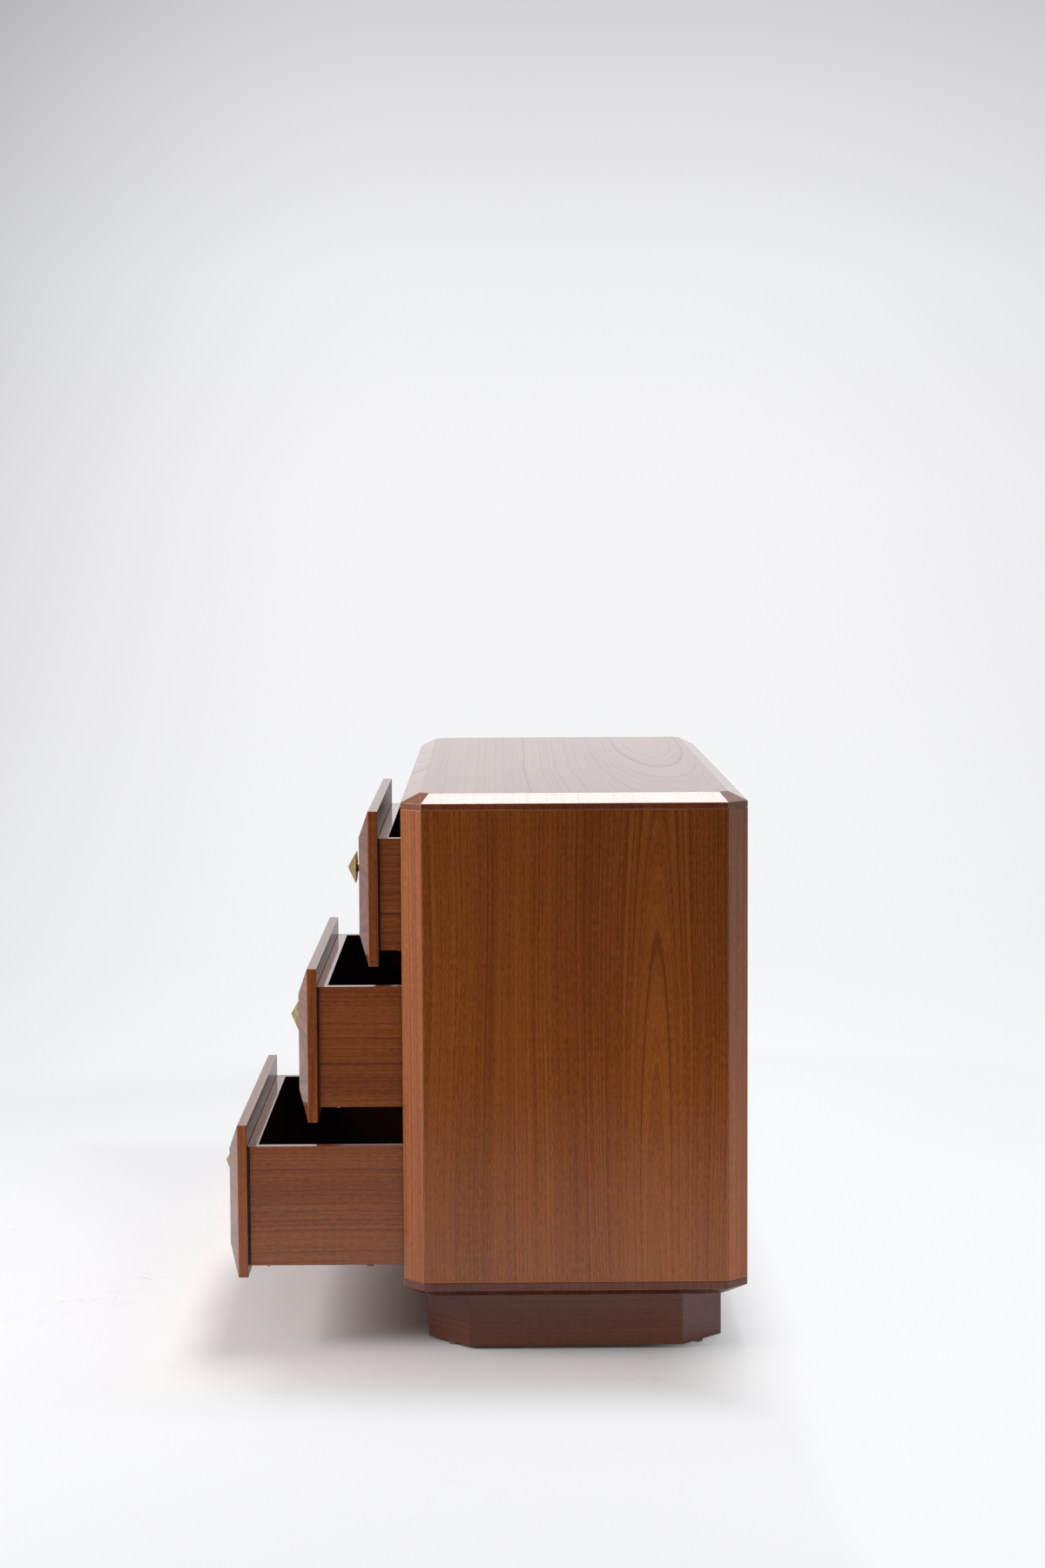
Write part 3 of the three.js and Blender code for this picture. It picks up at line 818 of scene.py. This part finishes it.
low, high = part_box("top_panel")
top = add_block("top_board", low, (high.x, high.y, low.z + TOP_BAND))
wear(top, top_veneer, arris_wear_and_highlight, end_grain)
bpy.ops.object.mode_set(mode="EDIT")
pick(top, "EDGE", lambda edge: abs(edge.verts[0].co.z - edge.verts[1].co.z) > TOP_BAND / 2)
bpy.ops.mesh.bevel(offset=CORNER_CUT, segments=1, affect="EDGES")
pick(top, "FACE", lambda face: face.normal.z > FACING)
bpy.ops.mesh.inset(thickness=BEVEL_RUN, depth=BEVEL_RISE)
bpy.ops.object.mode_set(mode="OBJECT")
ease_edges(top)
give_faces(top, end_grain, lambda face: abs(face.normal.z) < UPRIGHT
           and abs(face.normal.x) > ENDWARD and face.area > SLIVER)
lay_grain(top, ALONG, TOP_CUT)
settle(top, "carcass", "case_veneer", "top_panel")
print("top:", len(top.data.polygons), "faces")

# %% [markdown]
# ## The case: base, sides and posts
#
# The base mirrors the top: a low band over a bevel that runs back under the chest. Its band ends
# show darker end grain, and its bevel wears a darker wood as painted shade. The sides are wide
# veneered panels between solid posts, whose outer faces are cut at 45 degrees. The posts are of a
# paler, straighter wood than the veneer. All of these have notches or a raised floor, so they
# start from the CAD shapes and get their edges eased.

# %% Base, sides and posts
BAND_LOW, BAND_HIGH = 0.0955, 0.1066  # metres up, where the bevel and the floor begin
BASE_CUT = (4.7, 0.31)
SIDE_CUTS = {"left": (2.0, -0.05), "right": (0.0, 0.12)}
POST_SHIFT = (1.9, 0.4)

base = board_from("base_panel")
wear(base, case_veneer, arris_wear_and_highlight, plinth_wood, inner_wood, painted_shade_wood)
ease_edges(base)
give_faces(base, plinth_wood, lambda face: abs(face.normal.x) > ENDWARD
           and BAND_LOW < face.center.z < BAND_HIGH)
give_faces(base, inner_wood, lambda face: face.center.z > BAND_HIGH)
# The under-bevel gets the darker wood: painted shade.
give_faces(base, painted_shade_wood,
           lambda face: face.center.z < BAND_LOW and face.material_index == 0)
lay_grain(base, ALONG, BASE_CUT)
settle(base, "carcass", "case_veneer", "base_panel")

for side, cut in SIDE_CUTS.items():
    panel = board_from("side_panel_" + side)
    wear(panel, case_veneer, arris_wear_and_highlight)
    ease_edges(panel)
    lay_grain(panel, UP, cut)
    settle(panel, "carcass", "case_veneer", "side_panel_" + side)
    for end in ("front", "back"):
        node = "post_{}_{}".format(end, side)
        post = board_from(node)
        wear(post, post_wood, arris_wear_and_highlight)
        ease_edges(post)
        lay_grain(post, UP, (cut[0] + POST_SHIFT[0], cut[1] + POST_SHIFT[1]))
        settle(post, "carcass", "post_wood", node)
print("case: base, two sides and four posts")

# %% [markdown]
# ## The plinth and its glides
#
# The chest stands on a recessed eight-sided plinth, darker than the case and mostly in its
# shadow. Its stain covers the eased edges too. Five small steel glides under it leave a line of
# darkness along the floor. A glide is a pressed dome with a rolled rim, so its profile is drawn
# once and spun about its middle.

# %% Plinth
PLINTH_CUT = (5.1, 0.22)

plinth = board_from("plinth_frame")
wear(plinth, plinth_wood, plinth_wood)
ease_edges(plinth)
lay_grain(plinth, ALONG, PLINTH_CUT, then=DEEP)
settle(plinth, "carcass", "plinth_wood", "plinth_frame")
print("plinth:", len(plinth.data.polygons), "faces")

# %% Turning on a lathe, and the glides
LATHE_STEPS = 32
SMOOTH_UNDER = math.radians(35)


def turned(name, profile, middle, axis):
    """Spins a profile of (radius, height) steps about an axis through middle."""
    axis, arm = Vector(axis), Vector(ALONG)
    mesh = bpy.data.meshes.new(name)
    places = [Vector(middle) + arm * radius + axis * height for radius, height in profile]
    mesh.from_pydata(places, [(i, i + 1) for i in range(len(profile) - 1)], [])
    piece = bpy.data.objects.new(name, mesh)
    scene.collection.objects.link(piece)
    alone(piece)
    bpy.ops.object.mode_set(mode="EDIT")
    bpy.ops.mesh.select_mode(type="VERT")
    bpy.ops.mesh.select_all(action="SELECT")
    bpy.ops.mesh.spin(steps=LATHE_STEPS, angle=2 * math.pi, center=middle, axis=axis)
    bpy.ops.mesh.select_all(action="SELECT")
    bpy.ops.mesh.remove_doubles(threshold=WELD)
    bpy.ops.mesh.normals_make_consistent(inside=False)
    bpy.ops.object.mode_set(mode="OBJECT")
    bpy.ops.object.shade_smooth_by_angle(angle=SMOOTH_UNDER)
    return piece


def copy_to(piece, name, shift):
    """A copy with its own mesh, shifted in its vertices."""
    mesh = piece.data.copy()
    mesh.transform(Matrix.Translation(shift))
    twin = bpy.data.objects.new(name, mesh)
    scene.collection.objects.link(twin)
    return twin


GLIDE_PROFILE = [
    (0, 0), (0.0050, 0), (0.0064, 0.0004), (0.0073, 0.0013), (0.0075, 0.0024),
    (0.0075, 0.0036), (0.0068, 0.0041), (0.0062, 0.0047), (0, 0.0047),
]
glide_names = [node for node in sorted(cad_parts) if node.startswith("glide_")]
glide = turned("glide", GLIDE_PROFILE, (0, 0, 0), UP)
wear(glide, glide_metal)
for node in glide_names:
    low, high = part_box(node)
    middle = (low + high) / 2
    twin = copy_to(glide, node + "_pressed", (middle.x, middle.y, low.z))
    settle(twin, "carcass", "glide_metal", node)
bpy.data.objects.remove(glide)
print(len(glide_names), "glides")

# %% [markdown]
# ## The back and the inside boards
#
# Nobody sees the back against a wall, so it is a plain dark board, let into the posts and held by
# screws. The dividers and the partition inside are plain too, and their CAD shapes are right as
# they are, so they only get a finish whose grain follows their own axes.

# %% Back panel
BACK_CUT = (9.3, 0.16)

back = board_from("back_panel")
wear(back, inner_wood, inner_wood)
ease_edges(back)
lay_grain(back, ALONG, BACK_CUT)
settle(back, "carcass", "inner_wood", "back_panel")
print("back:", len(back.data.polygons), "faces")

# %% Screws round the back, and the inside boards
SCREW_PROFILE = [
    (0, 0.0009), (0.0012, 0.0009), (0.0016, 0.0016), (0.0028, 0.0013), (0.0036, 0.0004),
    (0.0036, -0.0004), (0, -0.0004),
]
SCREW_INSET = 0.018
GAPS_ACROSS, GAPS_UP = 6, 4


def screw_places(low, high, gaps):
    """Places at even gaps between two edges, set in from both."""
    reach = high - low - 2 * SCREW_INSET
    return [low + SCREW_INSET + reach * step / gaps for step in range(gaps + 1)]


low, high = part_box("back_panel")
screw = turned("screw", SCREW_PROFILE, (0, 0, 0), DEEP)
wear(screw, glide_metal)
across_places = screw_places(low.x, high.x, GAPS_ACROSS)
up_places = screw_places(low.z, high.z, GAPS_UP)
spots = [(x, z) for x in across_places for z in up_places
         if x in (across_places[0], across_places[-1]) or z in (up_places[0], up_places[-1])]
for number, (x, z) in enumerate(spots):
    twin = copy_to(screw, "back_screw_{:02d}".format(number), (x, high.y, z))
    settle(twin, "carcass", "glide_metal")
bpy.data.objects.remove(screw)

for node, finish in (("divider_lower", divider_wood), ("divider_upper", divider_wood),
                     ("partition", partition_wood)):
    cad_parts[node].data.materials.clear()
    wear(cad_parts[node], finish)
print("back with", len(spots), "screws")

# %% [markdown]
# ## Drawer fronts
#
# Each front is a slab whose face rises in four shallow bevels to a flat field, so the six of
# them look like cut stones. A block is set at the slab's size, and one inset of its face, with the
# field's set-in as thickness and its rise as depth, makes all four mitred bevels. The grain runs
# along the width on the field and follows each bevel. The ends are lipped with a paler strip
# whose grain stands upright, and the back of the slab is duller. Every front comes from its own
# sheet, cut so that the arches sit round the knob.

# %% Six drawer fronts
FIELD_SET_IN, FIELD_RISE = 0.042, 0.015
FRONT_SHARP = math.radians(40)
AXIS_BELOW = 0.02
FIRST_FRONT_SHEET, HALF_ALONG = 6, 0.5
DRAWERS = [column + row for column in ("left_", "right_")
           for row in ("lower_", "middle_", "upper_")]

low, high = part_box("left_lower_front")
pattern = add_block("front_pattern", (low.x, low.y + FIELD_RISE, low.z), high)
wear(pattern, front_veneer, arris_wear_and_highlight, front_lipping, front_back_wood)
bpy.ops.object.mode_set(mode="EDIT")
pick(pattern, "FACE", lambda face: face.normal.y < -FACING)
bpy.ops.mesh.inset(thickness=FIELD_SET_IN, depth=FIELD_RISE)
bpy.ops.object.mode_set(mode="OBJECT")
ease_edges(pattern, sharp=FRONT_SHARP)
give_faces(pattern, front_lipping,
           lambda face: abs(face.normal.x) > FACING and face.area > SLIVER)
give_faces(pattern, front_back_wood, lambda face: face.normal.y > FACING)
for number, drawer in enumerate(DRAWERS):
    front_low, front_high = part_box(drawer + "front")
    front = copy_to(pattern, drawer + "front_panel", front_low - low)
    middle = (front_low + front_high) / 2
    sheet_start = SHEET_LENGTH * (FIRST_FRONT_SHEET + number)
    lay_grain(front, ALONG, (sheet_start + HALF_ALONG - middle.x, AXIS_BELOW - middle.z))
    settle(front, drawer + "drawer", "front_veneer", drawer + "front")
bpy.data.objects.remove(pattern)
print(len(DRAWERS), "fronts")

# %% [markdown]
# ## Drawer boxes
#
# Behind each front is a box: a second front whose thin lip covers the ends of the sides, two
# sides, a back and a bottom that slides in grooves. Outside it is brown wood with the grain
# along each board; inside it is stained a very dark brown and polished. The top edges, which
# hands and light find first, have the glossiest lacquer, and the lip's ends wear a darker wood as
# painted shade. Each of these finishes is given to the faces that look the right way.

# %% Boxes
BOX_ARRIS = 0.0005
BOX_CUT, NEXT_BOX_CUT = (21.3, 0.14), (0.83, 0.037)
DOWNWARD = -0.5
BOX_PARTS = {
    "sub_front": ALONG, "side_inner": DEEP, "side_outer": DEEP, "back": ALONG, "bottom": ALONG}

box_number = 0
for drawer in DRAWERS:
    box_middle_x = (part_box(drawer + "side_inner")[0].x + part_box(drawer + "side_outer")[1].x) / 2
    for part, lead in BOX_PARTS.items():
        box_number += 1
        board = board_from(drawer + part)
        wear(board, drawer_wood, drawer_wood, drawer_lining, painted_shade_wood, drawer_edge)
        ease_edges(board, arris=BOX_ARRIS)
        if part == "bottom":
            give_faces(board, drawer_lining, lambda face: face.normal.z > DOWNWARD)
        else:
            give_faces(board, drawer_edge, lambda face: face.normal.z > FACING)
        if part == "sub_front":
            give_faces(board, drawer_lining, lambda face: face.normal.y > FACING)
            # The lip's ends get the darker wood: painted shade.
            give_faces(board, painted_shade_wood, lambda face: abs(face.normal.x) > FACING)
        elif part == "back":
            give_faces(board, drawer_lining, lambda face: face.normal.y < -FACING)
        elif part != "bottom":
            low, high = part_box(drawer + part)
            inward = math.copysign(1, box_middle_x - (low.x + high.x) / 2)
            give_faces(board, drawer_lining, lambda face: face.normal.x * inward > FACING)
        lay_grain(board, lead, [start + step * box_number
                                for start, step in zip(BOX_CUT, NEXT_BOX_CUT)])
        slot_name = "drawer_lining" if part == "bottom" else "drawer_wood"
        settle(board, drawer + "drawer", slot_name, drawer + part)
print(box_number, "boards in the drawer boxes")

# %% [markdown]
# ## Studs and pads under the drawer sides
#
# Small bright dots show under the drawer sides in the photograph, and a wider dark piece further
# back. They read as the studs that a drawer glides on and a pad that stops it tipping. They run in
# shallow channels of the boards below, so nothing scrapes when the drawer moves.

# %% Studs and pads
STUD_PROFILE = [
    (0, -0.0020), (0.0012, -0.0019), (0.0021, -0.0014), (0.0026, -0.0006), (0.0026, 0.0004),
    (0, 0.0004),
]
STUD_BEHIND, PAD_BEHIND, REAR_STUD_AHEAD = 0.026, 0.174, 0.040
CHANNEL_HALF = 0.004
PAD_LENGTH, PAD_WIDTH, PAD_DROP, PAD_SUNK = 0.010, 0.005, 0.0022, 0.0005
PAD_ARRIS, PAD_CUT = 0.0004, (1.0, 0.5)

stud = turned("stud", STUD_PROFILE, (0, 0, 0), UP)
wear(stud, glide_metal)
pad = add_block("pad", (-PAD_WIDTH / 2, -PAD_LENGTH / 2, -PAD_DROP),
                (PAD_WIDTH / 2, PAD_LENGTH / 2, PAD_SUNK))
wear(pad, plinth_wood, plinth_wood)
ease_edges(pad, arris=PAD_ARRIS)
lay_grain(pad, DEEP, PAD_CUT)
for drawer in DRAWERS:
    for part, outermost, inset in (
            ("side_inner", min, CHANNEL_HALF), ("side_outer", max, -CHANNEL_HALF)):
        low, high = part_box(drawer + part)
        outside = outermost((low.x, high.x), key=abs)
        channel = outside + math.copysign(1, outside) * inset
        for spot, shape, y in (
                ("front_stud", stud, low.y + STUD_BEHIND), ("pad", pad, low.y + PAD_BEHIND),
                ("rear_stud", stud, high.y - REAR_STUD_AHEAD)):
            twin = copy_to(shape, drawer + part + "_" + spot, (channel, y, low.z))
            settle(twin, drawer + "drawer", "glide_metal" if shape is stud else "plinth_wood")
for shape in (stud, pad):
    bpy.data.objects.remove(shape)
print("studs and pads under", 2 * len(DRAWERS), "drawer sides")

# %% [markdown]
# ## Knobs
#
# A knob is a square brass head that comes to a low point, on a turned stem with a collar. The
# head starts as its thin rim, a block; the front face is extruded and merged to the point, and
# the nearly flat back is extruded a little and shrunk to the neck. The stem is spun from a
# profile. One knob is made and copied to the six fronts.

# %% Six knobs
KNOB_POINT, KNOB_RIM, KNOB_TAPER, NECK_SHARE = 0.0125, 0.001, 0.002, 17 / 45
KNOB_EDGE, KNOB_SHARP = 0.0004, math.radians(20)

low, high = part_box("left_lower_knob")
centre = (low + high) / 2
rim_front = low.y + KNOB_POINT
head = add_block(
    "knob_pattern", (low.x, rim_front, low.z), (high.x, rim_front + KNOB_RIM, high.z))
wear(head, knob_brass)
bpy.ops.object.mode_set(mode="EDIT")
pick(head, "FACE", lambda face: face.normal.y > FACING)
bpy.ops.mesh.extrude_region_move(TRANSFORM_OT_translate={"value": (0, KNOB_TAPER, 0)})
bpy.ops.transform.resize(
    value=(NECK_SHARE, 1, NECK_SHARE), center_override=(centre.x, rim_front, centre.z))
pick(head, "FACE", lambda face: face.normal.y < -FACING)
bpy.ops.mesh.extrude_region_move(TRANSFORM_OT_translate={"value": (0, -KNOB_POINT, 0)})
bpy.ops.mesh.merge(type="CENTER")
pick(head, "EDGE", lambda edge: edge.is_convex and edge.calc_face_angle(0) > KNOB_SHARP)
bpy.ops.mesh.bevel(offset=KNOB_EDGE, segments=2, affect="EDGES")
bpy.ops.object.mode_set(mode="OBJECT")

foot = high.y - rim_front
stem_start = KNOB_TAPER * 0.6
STEM_PROFILE = [
    (0, foot), (0.0106, foot), (0.0110, foot - 0.0004), (0.0110, foot - 0.0022),
    (0.0102, foot - 0.0029), (0.0080, foot - 0.0030), (0.0071, foot - 0.0036),
    (0.0066, foot - 0.0055), (0.0066, foot - 0.0078), (0.0070, foot - 0.0100),
    (0.0070, stem_start), (0, stem_start),
]
stem = turned("stem", STEM_PROFILE, (centre.x, rim_front, centre.z), DEEP)
wear(stem, knob_brass)
alone(head)
stem.select_set(True)
bpy.ops.object.join()
for drawer in DRAWERS:
    twin = copy_to(head, drawer + "knob_brass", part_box(drawer + "knob")[0] - low)
    settle(twin, drawer + "drawer", "knob_brass", drawer + "knob")
bpy.data.objects.remove(head)
print(len(DRAWERS), "knobs")
